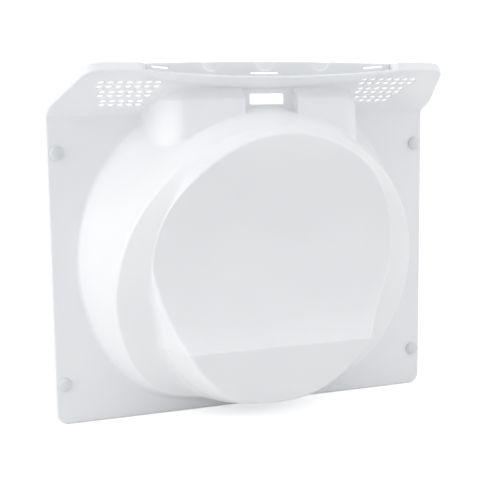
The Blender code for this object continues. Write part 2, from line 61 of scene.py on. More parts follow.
# ---- sizes shared with the solids -----------------------------------------------------------
WALL = 0.0022
GAP = 0.0003
RIM_DEPTH = 0.010
PLATE_WIDTH = 0.460
PLATE_HEIGHT = 0.343
PLATE_CORNER = 0.013
HOOD_LENGTH = 0.1055
HOOD_RISE = math.radians(25.4)
BEND_RADIUS = 0.0045
TAPER_START = 0.021
HOOD_FRONT_WIDTH = 0.405
HOOD_CORNER = 0.021
TAPER_ROUND = 0.050

BULGE_BASE = (0.200, 0.180, 0.0065)      # radius, centre height, floor
BULGE_EDGE = (0.1748, 0.1565, 0.0215)
BULGE_EDGE_DEPTH = 0.0676
BULGE_EDGE_LEAN = 0.29
BULGE_WALL_CURVE = 1.35
FLOOR_SHARPNESS = 12

FACE_TOP = 0.3245
FACE_MIDDLE = 0.184
FACE_BOTTOM = 0.0255
FACE_HALF_WIDTH = 0.1395
FACE_LOWER_SHAPE = (0.80, 1.54)
FACE_HOLLOW_RADIUS = 0.200
FACE_HOLLOW_HEIGHT = 0.1655
FACE_HOLLOW_DEPTH = 0.0895
FACE_TOP_DEPTH = 0.132
BROW_SHARPNESS = 18        # how tightly the hollow turns into the brow's front
BLOCK_BACK = 0.03          # rear of the block that carries the face, inside the drum
RIDGE_HEIGHT = 0.093
RIDGE_DEPTH = 0.1085
FACET_BOTTOM_DEPTH = 0.0905
LEDGE_RISE = 0.0135
LEDGE_START = 0.002        # width over which the ledge begins to rise
LEDGE_SINK = 0.03          # it falls away at half slope this far inside the face
FACE_DRAFT = 0.30

BOX_HALF_WIDTH = 0.0942
BOX_DRAFT = 0.075
BOX_SIDE_RADIUS = 0.050
BOX_SIDE_TURN = (math.radians(32), math.radians(83))
BOX_FOOT_WIDTH = 0.2445
BOX_DEPTH = 0.0720
BOX_FRONT_TOP = 0.359
BOX_BOTTOM = 0.290
BOX_TOP_LEAN = 1.0
NOTCH_ACROSS = 0.004
NOTCH_WIDTH = 0.062
NOTCH_BACK = 0.056
WINDOW = (0.0396, 0.0115, 0.3592)        # width, height, centre height

VENT_PITCH = 0.0101
VENT_ROW_PITCH = 0.0092
VENT_PAIR_PITCH = 0.0218
VENT_SIZE = (0.0062, 0.0070)
VENT_SHAPE = 2.4           # 2 is an ellipse, more is squarer
VENT_COUNTS = (5, 6, 7)
VENT_GRIDS = ((-0.1533, 0.0300), (0.1448, 0.0340))
BOW_DEPTH = 0.0153
BOW_HALF_WIDTH = 0.1458

STRIP_DEPTH = 0.0598
STRIP_SAG = 0.0240
STRIP_HALF_WIDTH = 0.1405
STRIP_THICKNESS = 0.004
STRIP_TOP = 0.3995
STRIP_END_DROP = 0.0032
FLUTE_PITCH = 0.0632
FLUTE_TOP_WIDTH = 0.023
FLUTE_BOTTOM_WIDTH = 0.015
FLUTE_HEIGHT = 0.0095
FLUTE_DEPTH = 0.0024
FLUTE_SWELL = ((0.0, 0.18, 0.45, 1.0), (0.40, 0.85, 1.0, 1.0))   # size by height, from its foot
SLOT_LENGTHS = (0.0216, 0.0330)
SLOT_HEIGHT = 0.0020
SLOT_ACROSS = 0.1222
SLOT_TILT = 0.08
SLOT_BELOW_TOP = (0.0045, 0.0124)
GUIDE_THICKNESS = 0.0022
GUIDE_LAP = 0.006
NIB_HEIGHT = 0.0045

RIVET_ACROSS = 0.2195
RIVET_HEIGHTS = (0.0455, 0.3035)
HEAD_RADIUS = 0.0075
HEAD_HEIGHT = 0.0038
FLANGE_RADIUS = 0.0060
FLANGE_THICKNESS = 0.0008
SHANK_RADIUS = 0.0021
SLEEVE_RADIUS = 0.0038
SLEEVE_LENGTH = 0.0064
PIN_TIP = 0.0010

PLATE_FRONT = -RIM_DEPTH
BOTTOM = -WALL / 2
HOOD_COS, HOOD_SIN = math.cos(HOOD_RISE), math.sin(HOOD_RISE)
BEND_TURN = math.pi / 2 - HOOD_RISE
BEND_REACH = BEND_RADIUS * math.tan(BEND_TURN / 2)
LIP = PLATE_HEIGHT + HOOD_LENGTH

# ---- soft radii seen on the moulding --------------------------------------------------------
ROOT_ROUND = 0.0026        # hollow corner where the forms grow out of the sheet
JOIN_ROUND = 0.0022        # hollow corner between the box and the chamber
EDGE_ROUND = 0.0020        # turned edge of the rim
LEDGE_ROUND = 0.0024
CROWN_ROUND = 0.0030       # rim of the front face where it stands above the ledge
FOOT_ROUND = 0.0050
BOX_ROUND = 0.0022
BOX_TOP_ROUND = 0.0022
NOTCH_ROUND = 0.0014
RIDGE_ROUND = 0.0015
RISE_ROUND = 0.0016        # where the ledge stops rising and follows the face
CUT_ROUND = 0.0005
WINDOW_ROUND = 0.0012
GUIDE_ROUND = 0.0007       # hollow corner between the guides and the hood
STRIP_ROUND = 0.0007
STRIP_FOOT_ROUND = 0.0004
FLUTE_ROUND = 0.0009
SLOT_ROUND = 0.0004
HIDDEN_ROUND = 0.001       # edges buried in another form


# ---- distance fields: negative inside the material ------------------------------------------
def soft_max(a, b, width):
    reach = np.maximum(width - np.abs(a - b), 0)
    return np.maximum(a, b) + reach * reach / (4 * width)


def soft_min(a, b, width):
    return -soft_max(-a, -b, width)


def union(a, b, radius):
    """Union with a hollow corner of about this radius."""
    return soft_min(a, b, 1.2 * radius)


def both(a, b, radius):
    """Intersection with a round edge of about this radius."""
    return soft_max(a, b, 1.2 * radius)


def unit(field, x, d, h, step=3e-4):
    """The field divided by its slope, so that it reads as a distance near its surface."""
    value = field(x, d, h)
    slope = (field(x + step, d, h) - value) ** 2
    slope += (field(x, d + step, h) - value) ** 2
    slope += (field(x, d, h + step) - value) ** 2
    return value / np.clip(np.sqrt(slope) / step, 0.2, 2.5)


def unfold(d, h):
    """Along the plate and up the hood, and the distance behind the sheet's front face."""
    v = h - (PLATE_HEIGHT - BEND_REACH)
    u = d - BEND_RADIUS
    hood_along = d * HOOD_COS + (h - PLATE_HEIGHT) * HOOD_SIN
    hood_behind = (h - PLATE_HEIGHT) * HOOD_COS - d * HOOD_SIN
    turn = np.arctan2(v, -u)
    on_hood = (hood_along > BEND_REACH) & (v > 0)
    in_bend = (v > 0) & ~on_hood
    bend_along = PLATE_HEIGHT - BEND_REACH + 2 * BEND_REACH * turn / BEND_TURN
    along = np.where(on_hood, PLATE_HEIGHT + hood_along, np.where(in_bend, bend_along, h))
    behind = np.where(on_hood, hood_behind, np.where(in_bend, np.hypot(u, v) - BEND_RADIUS, -d))
    return along, behind


def outline(x, s):
    """Distance to the unfolded sheet's outline, negative within."""
    x = np.abs(x)
    half, front = PLATE_WIDTH / 2, HOOD_FRONT_WIDTH / 2
    lean = math.atan2(half - front, HOOD_LENGTH - TAPER_START)
    c, t = math.cos(lean), math.sin(lean)
    foot = LIP - (half - front) / math.tan(lean)
    side = x - half
    u, v = x - (half - TAPER_ROUND), s - (foot - TAPER_ROUND * math.tan(lean / 2))
    past = v * c - u * t > 0
    taper = (x - half) * c + (s - foot) * t
    side = np.where(v <= 0, side, np.where(past, taper, np.hypot(u, v) - TAPER_ROUND))
    reach = HOOD_CORNER * math.tan((math.pi / 2 - lean) / 2)
    u, v = x - (front - reach), s - (LIP - HOOD_CORNER)
    corner = (u > 0) & (v * c - u * t > 0)
    top = np.where(corner, np.hypot(u, v) - HOOD_CORNER, np.maximum(side, s - LIP))
    u, v = x - (half - PLATE_CORNER), PLATE_CORNER - s
    return np.where((u > 0) & (v > 0), np.hypot(u, v) - PLATE_CORNER, np.maximum(top, -s))


def flat_circle(x, h, radius, centre, floor):
    """1 on a circle that turns softly into a flat bottom, with the distance from its centre."""
    down = np.maximum(centre - h, 0) / (centre - floor)
    rho = np.hypot(x, h - centre)
    big = np.maximum(rho / radius, 1e-6)
    low = np.maximum(down, 1e-6)
    top = np.maximum(big, low)
    power = FLOOR_SHARPNESS
    norm = top * ((big / top) ** power + (low / top) ** power) ** (1 / power)
    return norm, rho


def edge_depth(h):
    return BULGE_EDGE_DEPTH + BULGE_EDGE_LEAN * (h - BULGE_EDGE[1])


def drum_wall(x, d, h):
    share = d / np.maximum(edge_depth(h), 0.01)
    keep = None
    for _ in range(2):
        keep = np.maximum(1 - np.clip(share, 0, 1), 0) ** BULGE_WALL_CURVE
        centre = BULGE_EDGE[1] + (BULGE_BASE[1] - BULGE_EDGE[1]) * keep
        sine = (h - centre) / np.maximum(np.hypot(x, h - centre), 1e-6)
        edge_h = np.maximum(BULGE_EDGE[1] + BULGE_EDGE[0] * sine, BULGE_EDGE[2])
        share = d / edge_depth(edge_h)
    keep = np.where(share < 0, 1 - BULGE_WALL_CURVE * share,
                    np.maximum(1 - share, 0) ** BULGE_WALL_CURVE)
    sizes = [e + (b - e) * keep for b, e in zip(BULGE_BASE, BULGE_EDGE)]
    norm, rho = flat_circle(x, h, *sizes)
    return (norm - 1) * rho / np.maximum(norm, 0.2)


def face_inset(x, h):
    """Distance outside the front face's outline, nearly true close to it."""
    across = np.abs(x) / FACE_HALF_WIDTH
    up = np.maximum(h - FACE_MIDDLE, 0) / (FACE_TOP - FACE_MIDDLE)
    down = np.maximum(FACE_MIDDLE - h, 0) / (FACE_MIDDLE - FACE_BOTTOM)
    upper = np.sqrt(across ** 2 + up ** 2)
    p, q = 2 / FACE_LOWER_SHAPE[0], 2 / FACE_LOWER_SHAPE[1]
    lower = np.maximum(across ** p + down ** q, 1e-9) ** (1 / p)
    return np.where(h >= FACE_MIDDLE, upper, lower) - 1


def face_distance(x, h, step=3e-4):
    value = face_inset(x, h)
    slope = (face_inset(x + step, h) - value) ** 2 + (face_inset(x, h + step) - value) ** 2
    return value / np.clip(np.sqrt(slope) / step, 1.0, 60.0)


def face_depth(h):
    """Front face seen from the side: a brow, a hollow, the ridge and a facet under it."""
    facet = FACET_BOTTOM_DEPTH + (h - FACE_BOTTOM) / (RIDGE_HEIGHT - FACE_BOTTOM) * (
        RIDGE_DEPTH - FACET_BOTTOM_DEPTH)
    share = np.clip((FACE_HOLLOW_HEIGHT - h) / (FACE_HOLLOW_HEIGHT - RIDGE_HEIGHT), 0, 1.4)
    hollow = FACE_HOLLOW_DEPTH + (RIDGE_DEPTH - FACE_HOLLOW_DEPTH) * share ** 3
    across = np.clip(h - FACE_HOLLOW_HEIGHT, 0, FACE_HOLLOW_RADIUS * 0.99)
    rise = FACE_HOLLOW_RADIUS - np.sqrt(FACE_HOLLOW_RADIUS ** 2 - across ** 2)
    power = -float(BROW_SHARPNESS)
    brow = ((FACE_HOLLOW_DEPTH + rise) ** power + FACE_TOP_DEPTH ** power) ** (1 / power)
    upper = np.where(h < FACE_HOLLOW_HEIGHT, hollow, brow)
    return soft_min(facet, upper, RIDGE_ROUND)


def ledge_height(x, h):
    """Top of the ledge ring, rising from its outer edge to the foot of the face."""
    norm, rho = flat_circle(x, h, *BULGE_EDGE)
    inside = np.maximum((1 - norm) * rho / np.maximum(norm, 0.2), 0)
    high = face_depth(h) - edge_depth(h)
    foot = FACE_DRAFT * np.maximum(high - LEDGE_RISE, 0)
    outside = np.maximum(face_distance(x, h) - foot, 0)
    rise = soft_min(LEDGE_RISE + 0 * h, high, RISE_ROUND)
    return edge_depth(h) + rise * inside / (inside + outside + LEDGE_START)


def ledge_depth(x, h):
    """The ledge runs up to the face's foot and sinks within it."""
    sunk = np.clip(-face_distance(x, h) - 0.001, 0, LEDGE_SINK)
    return ledge_height(x, h) - 0.5 * sunk


def drum_top(x, d, h):
    return d - ledge_depth(x, h)


def face_wall(x, d, h):
    return face_distance(x, h) - FACE_DRAFT * (face_depth(h) - d)


def face_front(x, d, h):
    return d - face_depth(h)


def chamber(x, d, h):
    drum = both(unit(drum_wall, x, d, h), unit(drum_top, x, d, h), LEDGE_ROUND)
    step = face_depth(h) - ledge_height(x, h)
    block = both(unit(face_wall, x, d, h), unit(face_front, x, d, h),
                 np.clip(0.4 * step, 0.0008, CROWN_ROUND))
    block = both(block, BLOCK_BACK - d, HIDDEN_ROUND)
    return union(drum, block, np.clip(0.5 * step, 0.0004, FOOT_ROUND))


def box_side(x, d, h):
    """Plan of the box: the side sweeps round behind the front face and runs to the plate."""
    x = np.abs(x)
    first, last = BOX_SIDE_TURN
    half = BOX_HALF_WIDTH + BOX_DRAFT * np.maximum(BOX_FRONT_TOP - h, 0)
    depth = BOX_DEPTH - BOX_TOP_LEAN * np.maximum(h - BOX_FRONT_TOP, 0)
    cx, cd = half - BOX_SIDE_RADIUS * math.sin(first), depth - BOX_SIDE_RADIUS * math.cos(first)
    ex, ed = cx + BOX_SIDE_RADIUS * math.sin(last), cd + BOX_SIDE_RADIUS * math.cos(last)
    foot = BOX_FOOT_WIDTH / 2 - BOX_HALF_WIDTH + half
    run = x - (foot + (ex - foot) * d / np.maximum(ed, 0.01))
    swept = np.hypot(np.maximum(x - cx, 0), d - cd) - BOX_SIDE_RADIUS
    return np.where(d > ed, swept, run)


def box_front(x, d, h):
    slope = BOX_DEPTH - BOX_TOP_LEAN * (h - BOX_FRONT_TOP)
    return d - soft_min(BOX_DEPTH + 0 * h, slope, BOX_TOP_ROUND)


def window_box(x, d, h):
    body = both(unit(box_side, x, d, h), unit(box_front, x, d, h), BOX_ROUND)
    notch = both(np.abs(x - NOTCH_ACROSS) - NOTCH_WIDTH / 2, NOTCH_BACK - d, NOTCH_ROUND)
    body = both(body, -notch, NOTCH_ROUND)
    return both(body, BOX_BOTTOM - h, HIDDEN_ROUND)


def slab(*fields):
    value = fields[0]
    for field in fields[1:]:
        value = np.maximum(value, field)
    return value


def vents(x, s):
    """Distance to the nearest vent, negative within it."""
    nearest = np.full(x.shape, 1.0)
    for centre, first in VENT_GRIDS:
        for pair, count in enumerate(VENT_COUNTS):
            for row in range(2):
                along = PLATE_HEIGHT + first - VENT_ROW_PITCH / 2
                along += pair * VENT_PAIR_PITCH + row * VENT_ROW_PITCH
                middle = (count - 1) / 2
                k = np.clip(np.round((x - centre) / VENT_PITCH + middle), 0, count - 1)
                u = np.abs(x - centre - (k - middle) * VENT_PITCH) / (VENT_SIZE[0] / 2)
                v = np.abs(s - along) / (VENT_SIZE[1] / 2)
                size = (u ** VENT_SHAPE + v ** VENT_SHAPE) ** (1 / VENT_SHAPE)
                nearest = np.minimum(nearest, (size - 1) * VENT_SIZE[0] / 2)
    return nearest


def strip_depth(x):
    return STRIP_DEPTH + STRIP_SAG * (x / STRIP_HALF_WIDTH) ** 2


def strip_slope(x):
    return 2 * STRIP_SAG * x / STRIP_HALF_WIDTH ** 2


def strip_top(x):
    return STRIP_TOP - STRIP_END_DROP * (x / STRIP_HALF_WIDTH) ** 2


def guides(x, d, h, behind):
    """Rear wall, end wall, low front stop and slant wall at each end of the strip."""
    x = np.abs(x)
    inner, end = STRIP_HALF_WIDTH - GUIDE_LAP, STRIP_HALF_WIDTH + GAP
    outer = end + GUIDE_THICKNESS
    lean = math.hypot(1, strip_slope(STRIP_HALF_WIDTH))
    front = (d - strip_depth(x)) / lean
    top = strip_top(STRIP_HALF_WIDTH)
    floor = WALL / 2 - behind
    rear_face = front + (STRIP_THICKNESS + GAP) / lean
    rear = slab(rear_face, -rear_face - GUIDE_THICKNESS / lean, inner - x, x - outer, h - top, floor)
    stop = slab(GAP / lean - front, front - (GAP + GUIDE_THICKNESS) / lean, inner - x, x - outer,
                behind - WALL - NIB_HEIGHT * HOOD_COS, floor)
    wall = slab(end - x, x - outer, -rear_face - GUIDE_THICKNESS / lean,
                front - GUIDE_THICKNESS / lean, h - top, floor)
    start = strip_depth(end)
    lip = HOOD_LENGTH * HOOD_COS - 0.6 * WALL
    run = end + (BOW_HALF_WIDTH - GAP - end) * (d - start) / (lip - start)
    slant = slab(run - x, x - run - GUIDE_THICKNESS, start - d, d - lip, h - top, floor)
    return np.minimum(np.minimum(rear, stop), np.minimum(wall, slant))


def duct_panel(x, y, z):
    d, h = PLATE_FRONT - y, z - BOTTOM
    s, behind = unfold(d, h)
    forms = union(chamber(x, d, h), window_box(x, d, h), JOIN_ROUND)
    filled = both(union(forms, -behind, ROOT_ROUND), outline(x, s), EDGE_ROUND)
    skin = both(filled, -(filled + WALL), CUT_ROUND)
    skin = both(skin, behind - RIM_DEPTH, CUT_ROUND)
    half = BOW_HALF_WIDTH
    bow = s - (LIP - BOW_DEPTH * np.maximum(1 - (x / half) ** 2, 0))
    bow = bow / np.sqrt(1 + (2 * BOW_DEPTH * x / half ** 2) ** 2)
    bow = np.minimum(bow, half - np.abs(x))
    skin = both(skin, bow, CUT_ROUND * 1.6)
    gap = slab(np.abs(x) - half, LIP - 2 * WALL - s, WALL - behind)
    skin = both(skin, -gap, CUT_ROUND)
    skin = both(skin, -np.maximum(vents(x, s), np.abs(behind - WALL / 2) - 2 * WALL), CUT_ROUND)
    u, v = np.abs(x - NOTCH_ACROSS) - WINDOW[0] / 2, np.abs(h - WINDOW[2]) - WINDOW[1] / 2
    window = np.maximum(both(u, v, WINDOW_ROUND), np.abs(d - NOTCH_BACK) - 2 * WALL)
    skin = both(skin, -window, CUT_ROUND)
    for height in RIVET_HEIGHTS:
        hole = np.hypot(np.abs(x) - RIVET_ACROSS, h - height) - SLEEVE_RADIUS - GAP
        skin = np.maximum(skin, -np.maximum(hole, np.abs(behind) - 2 * WALL))
    return union(skin, guides(x, d, h, behind), GUIDE_ROUND)


def flute(x, d, h, centre):
    share = (h - strip_top(centre)) / FLUTE_HEIGHT + 1
    size = np.interp(share, *FLUTE_SWELL)
    half = (FLUTE_BOTTOM_WIDTH + (FLUTE_TOP_WIDTH - FLUTE_BOTTOM_WIDTH) * share) / 2 * size
    u = (x - centre) / np.maximum(half, 1e-4)
    v = (d - strip_depth(centre)) / (FLUTE_DEPTH * size)
    round_side = (np.sqrt(u * u + v * v) - 1) * FLUTE_DEPTH
    return np.maximum(round_side, -share * FLUTE_HEIGHT)


def slot(x, d, h, side):
    kind = 1 if side == 0 else 0
    centre = side * SLOT_ACROSS
    turn = math.atan(strip_slope(centre))
    along = (x - centre) * math.cos(turn) + (d - strip_depth(centre)) * math.sin(turn)
    up = h - (strip_top(centre) - SLOT_BELOW_TOP[kind]) - along * side * SLOT_TILT
    half = SLOT_HEIGHT / 2
    return np.hypot(np.maximum(np.abs(along) - SLOT_LENGTHS[kind] / 2 + half, 0), up) - half


def grip_strip(x, y, z):
    d, h = PLATE_FRONT - y, z - BOTTOM
    lean = np.sqrt(1 + strip_slope(x) ** 2)
    front = (d - strip_depth(x)) / lean
    behind = (h - PLATE_HEIGHT) * HOOD_COS - d * HOOD_SIN
    body = both(front, -front - STRIP_THICKNESS / lean, STRIP_ROUND)
    body = both(body, np.abs(x) - STRIP_HALF_WIDTH, STRIP_ROUND)
    body = both(body, h - strip_top(x), STRIP_ROUND)
    body = both(body, WALL + GAP * HOOD_COS - behind, STRIP_FOOT_ROUND)
    for side in (-1, 0, 1):
        body = both(body, -flute(x, d, h, side * FLUTE_PITCH), FLUTE_ROUND)
        body = both(body, -slot(x, d, h, side), SLOT_ROUND)
    return body


# ---- meshing a field ------------------------------------------------------------------------
PANEL_PITCH = 0.00124      # a cell's diagonal stays under the wall's thickness
STRIP_PITCH = 0.0008
PANEL_BOX = ((-0.234, -0.146, -0.006), (0.234, 0.004, 0.402))
STRIP_BOX = ((-0.143, -0.100, 0.364), (0.143, -0.060, 0.402))
PANEL_TRIANGLES = 190000
STRIP_TRIANGLES = 90000
HALF_DIAGONAL = 0.87       # of a cube with sides of 1
SLOPE_MARGIN = 1.5         # a field may be this much steeper than a distance
CORNER_INSET = 0.12        # share of the way from a face's corner to its middle
MOST_MOVE = 4e-4           # furthest that a thinned point moves back onto the level


def inspect(field, points, size=400000):
    """Field values at many points, a batch at a time."""
    values = np.empty(len(points))
    for start in range(0, len(points), size):
        part = points[start:start + size]
        values[start:start + size] = field(part[:, 0], part[:, 1], part[:, 2])
    return values


def slope_at(field, points, value, step=1e-4):
    slope = np.empty_like(points)
    for axis in range(3):
        moved = points.copy()
        moved[:, axis] += step
        slope[:, axis] = (inspect(field, moved) - value) / step
    return slope


def mesh_field(name, field, low, high, pitch, levels=3):
    """Surface mesh of the field's zero level: one point per crossed cell, moved onto the level."""
    low, high = np.array(low), np.array(high)
    block = 2 ** levels
    counts = np.ceil((high - low) / (pitch * block)).astype(int)
    cells = np.stack(np.meshgrid(*[np.arange(n) for n in counts], indexing="ij"), -1).reshape(-1, 3)
    cells = cells * block
    size = block
    while size > 1:
        centres = low + (cells + (size - 1) / 2) * pitch
        near = np.abs(inspect(field, centres)) < size * pitch * HALF_DIAGONAL * SLOPE_MARGIN + pitch
        cells = cells[near]
        size //= 2
        steps = np.array([(i, j, k) for i in (0, size) for j in (0, size) for k in (0, size)])
        cells = (cells[:, None, :] + steps[None]).reshape(-1, 3)
    shape = counts * block + 2
    grid = np.full(shape, np.nan, np.float32)
    grid[cells[:, 0], cells[:, 1], cells[:, 2]] = inspect(field, low + cells * pitch)
    stride = (shape[1] * shape[2], shape[2], 1)
    quads, ids, places = [], [], []
    for axis in range(3):
        one = [slice(None)] * 3
        two = [slice(None)] * 3
        one[axis], two[axis] = slice(0, -1), slice(1, None)
        a, b = grid[tuple(one)], grid[tuple(two)]
        crossed = np.isfinite(a) & np.isfinite(b) & ((a < 0) != (b < 0))
        at = np.stack(np.nonzero(crossed), -1)
        first, second = a[crossed], b[crossed]
        point = at.astype(float)
        point[:, axis] += first / (first - second)
        p, q = (axis + 1) % 3, (axis + 2) % 3
        base = at @ np.array(stride)
        around = [base - stride[p] - stride[q], base - stride[q], base, base - stride[p]]
        quad = np.stack(around, -1)
        quad[first >= 0] = quad[first >= 0][:, ::-1]
        quads.append(quad)
        for corner in around:
            ids.append(corner)
            places.append(point)
    quads = np.concatenate(quads)
    used, index = np.unique(np.concatenate(ids), return_inverse=True)
    total = np.bincount(index, minlength=len(used))
    places = np.concatenate(places)
    points = np.stack([np.bincount(index, places[:, k], len(used)) / total for k in range(3)], -1)
    points = low + points * pitch
    start = points.copy()
    for _ in range(3):
        value = inspect(field, points)
        slope = slope_at(field, points, value)
        size = np.maximum((slope ** 2).sum(1), 0.25)
        points -= np.clip(value / size, -pitch / 2, pitch / 2)[:, None] * slope
        points = np.clip(points, start - pitch, start + pitch)
    faces = np.searchsorted(used, quads)
    mesh = bpy.data.meshes.new(name)
    mesh.vertices.add(len(points))
    mesh.vertices.foreach_set("co", points.astype(np.float32).ravel())
    mesh.loops.add(faces.size)
    mesh.loops.foreach_set("vertex_index", faces.astype(np.int32).ravel())
    mesh.polygons.add(len(faces))
    mesh.polygons.foreach_set("loop_start", np.arange(0, faces.size, 4, dtype=np.int32))
    mesh.update(calc_edges=True)
    mesh.validate()
    item = bpy.data.objects.new(name, mesh)
    bpy.context.scene.collection.objects.link(item)
    return item


def shade_corners(mesh, field):
    """Each face corner shaded by the field's slope a little inside its own face."""
    count, corners = len(mesh.polygons), len(mesh.loops)
    places = np.empty(len(mesh.vertices) * 3, np.float32)
    mesh.vertices.foreach_get("co", places)
    index, sides = np.empty(corners, np.int32), np.empty(count, np.int32)
    mesh.loops.foreach_get("vertex_index", index)
    mesh.polygons.foreach_get("loop_total", sides)
    middle, flat = np.empty(count * 3, np.float32), np.empty(count * 3, np.float32)
    mesh.polygons.foreach_get("center", middle)
    mesh.polygons.foreach_get("normal", flat)
    own = places.reshape(-1, 3)[index].astype(float)
    middle = np.repeat(middle.reshape(-1, 3), sides, axis=0)
    flat = np.repeat(flat.reshape(-1, 3), sides, axis=0)
    points = own + (middle - own) * CORNER_INSET
    slope = slope_at(field, points, inspect(field, points))
    slope /= np.maximum(np.sqrt((slope ** 2).sum(1)), 1e-6)[:, None]
    astray = (slope * flat).sum(1) < 0.5
    slope[astray] = flat[astray]
    mesh.normals_split_custom_set(slope.tolist())


def thin_out(item, most, field):
    """Fewer triangles where the surface is calm, moved back onto the field's level."""
    count = 2 * len(item.data.polygons)
    if count > most:
        step = item.modifiers.new("thin_out", "DECIMATE")
        step.ratio = most / count
        graph = bpy.context.evaluated_depsgraph_get()
        mesh = bpy.data.meshes.new_from_object(item.evaluated_get(graph))
        item.modifiers.clear()
        item.data = mesh
    mesh = item.data
    points = np.empty(len(mesh.vertices) * 3, np.float32)
    mesh.vertices.foreach_get("co", points)
    points = points.reshape(-1, 3).astype(float)
    value = inspect(field, points)
    slope = slope_at(field, points, value)
    length = np.maximum(np.sqrt((slope ** 2).sum(1)), 1e-6)
    points -= np.clip(value / length, -MOST_MOVE, MOST_MOVE)[:, None] * slope / length[:, None]
    mesh.vertices.foreach_set("co", points.astype(np.float32).ravel())
    mesh.shade_smooth()
    mesh.update()
    shade_corners(mesh, field)
    return item


# ---- plastics -------------------------------------------------------------------------------
def plastic(name, colour, roughness, shift=0.012, grain=0.04, scale=55.0):
    """Moulded plastic: a faint cloudiness, uneven gloss and a fine spark-eroded grain."""
    material = bpy.data.materials.new(name)
    material.use_nodes = True
    nodes, links = material.node_tree.nodes, material.node_tree.links
    shader = nodes["Principled BSDF"]
    place = nodes.new("ShaderNodeTexCoord")
    cloud = nodes.new("ShaderNodeTexNoise")
    cloud.inputs["Scale"].default_value = scale / 5
    cloud.inputs["Detail"].default_value = 3.0
    links.new(place.outputs["Object"], cloud.inputs["Vector"])
    ramp = nodes.new("ShaderNodeValToRGB")
    dark = [max(c - shift, 0) for c in colour]
    pale = [min(c + shift, 1) for c in colour]
    ramp.color_ramp.elements[0].position = 0.3
    ramp.color_ramp.elements[1].position = 0.7
    ramp.color_ramp.elements[0].color = (*dark, 1)
    ramp.color_ramp.elements[1].color = (*pale, 1)
    links.new(cloud.outputs["Fac"], ramp.inputs["Fac"])
    links.new(ramp.outputs["Color"], shader.inputs["Base Color"])
    gloss = nodes.new("ShaderNodeTexNoise")
    gloss.inputs["Scale"].default_value = scale
    gloss.inputs["Detail"].default_value = 4.0
    links.new(place.outputs["Object"], gloss.inputs["Vector"])
    spread = nodes.new("ShaderNodeMapRange")
    spread.inputs["To Min"].default_value = roughness - 0.05
    spread.inputs["To Max"].default_value = roughness + 0.05
    links.new(gloss.outputs["Fac"], spread.inputs["Value"])
    links.new(spread.outputs["Result"], shader.inputs["Roughness"])
    fine = nodes.new("ShaderNodeTexNoise")
    fine.inputs["Scale"].default_value = 2400.0
    fine.inputs["Detail"].default_value = 2.0
    links.new(place.outputs["Object"], fine.inputs["Vector"])
    bump = nodes.new("ShaderNodeBump")
    bump.inputs["Strength"].default_value = grain
    bump.inputs["Distance"].default_value = 0.0004
    links.new(fine.outputs["Fac"], bump.inputs["Height"])
    links.new(bump.outputs["Normal"], shader.inputs["Normal"])
    shader.inputs["IOR"].default_value = 1.46
    shader.inputs["Subsurface Weight"].default_value = 1.0
    shader.inputs["Subsurface Radius"].default_value = (1.0, 1.0, 1.0)
    shader.inputs["Subsurface Scale"].default_value = 0.0032
    return material


def dress(item, material):
    item.data.materials.clear()
    item.data.materials.append(material)
    return item


# ---- pieces of revolution: the rivets --------------------------------------------------------
def turned(name, profile, steps, centre):
    """Closed body of revolution about Y from (radius, y) pairs."""
    mesh = bpy.data.meshes.new(name)
    shape = bmesh.new()
    rings = []
    for radius, y in profile:
        if radius < 1e-6:
            rings.append([shape.verts.new((centre[0], y, centre[1]))])
            continue
        rings.append([shape.verts.new((centre[0] + radius * math.cos(2 * math.pi * i / steps), y,
                                       centre[1] + radius * math.sin(2 * math.pi * i / steps)))
                      for i in range(steps)])
    for one, two in zip(rings, rings[1:]):
        for i in range(steps):
            j = (i + 1) % steps
            corners = [one[i % len(one)], one[j % len(one)], two[j % len(two)], two[i % len(two)]]
            corners = list(dict.fromkeys(corners))
            if len(corners) > 2:
                shape.faces.new(corners)
    bmesh.ops.recalc_face_normals(shape, faces=shape.faces)
    shape.to_mesh(mesh)
    shape.free()
    item = bpy.data.objects.new(name, mesh)
    bpy.context.scene.collection.objects.link(item)
    mesh.shade_smooth()
    mesh.set_sharp_from_angle(angle=math.radians(40))
    return item


def pin_profile():
    seat = -2 * GAP - FLANGE_THICKNESS
    end = WALL + SLEEVE_LENGTH + PIN_TIP
    profile = [(0, end), (SHANK_RADIUS * 0.55, end), (SHANK_RADIUS, end - SHANK_RADIUS),
               (SHANK_RADIUS, seat + 0.0004), (SHANK_RADIUS + 0.0004, seat),
               (FLANGE_RADIUS + GAP, seat), (FLANGE_RADIUS + GAP, -GAP), (HEAD_RADIUS - GAP, -GAP)]
    steps = 14             # points from the head's rim to its top
    for i in range(steps + 1):
        angle = math.pi / 2 * i / steps
        profile.append((HEAD_RADIUS * math.cos(angle),
                        -4 * GAP - (HEAD_HEIGHT - 4 * GAP) * math.sin(angle) ** 0.9))
    profile[-1] = (0, -HEAD_HEIGHT)
    return [(r, PLATE_FRONT + w) for r, w in profile]


panel = mesh_field("panel_moulding", duct_panel, *PANEL_BOX, PANEL_PITCH)
thin_out(panel, PANEL_TRIANGLES, duct_panel)
dress(panel, plastic("white_moulding", (0.84, 0.845, 0.855), 0.40))
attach(panel, "panel")
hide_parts("duct_panel")

strip = mesh_field("strip_moulding", grip_strip, *STRIP_BOX, STRIP_PITCH)
thin_out(strip, STRIP_TRIANGLES, grip_strip)
dress(strip, plastic("white_strip", (0.81, 0.815, 0.825), 0.42))
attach(strip, "strip")
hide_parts("grip_strip")

